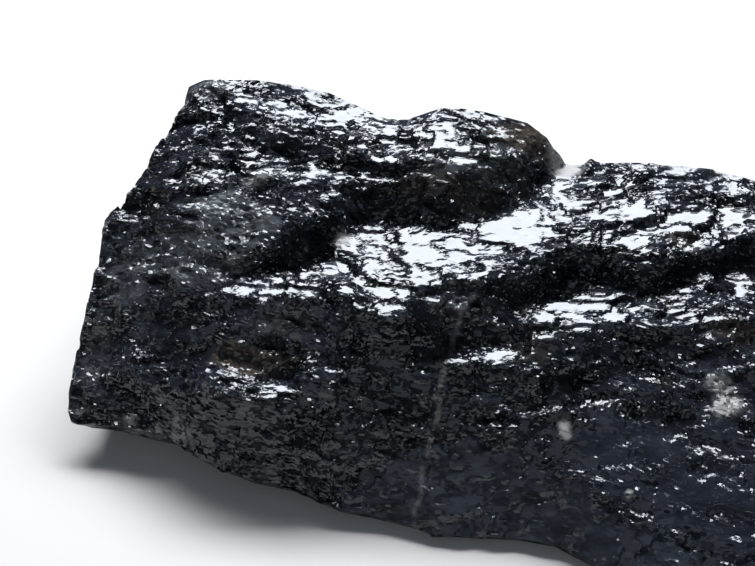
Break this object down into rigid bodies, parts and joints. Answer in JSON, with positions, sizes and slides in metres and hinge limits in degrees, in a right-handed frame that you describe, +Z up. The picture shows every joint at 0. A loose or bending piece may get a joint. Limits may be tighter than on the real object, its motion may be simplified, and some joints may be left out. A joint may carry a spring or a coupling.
{
  "type": "raw morion quartz",
  "caption": "Rough block of nearly black smoky quartz with a stepped, glassy broken face, lying on a flat underside.",
  "frame": {"origin": "middle of the outline seen from above, at the height of the flat base", "axes": "+X along the stone to its blunt end, +Y away from the stepped face to the steep back, +Z up"},
  "size_m": [0.1798, 0.0974, 0.0531],
  "materials": {
    "morion": "glassy, broken, nearly black"
  },
  "bodies": {
    "root": {"quartz_piece": "morion"}
  },
  "joints": []
}
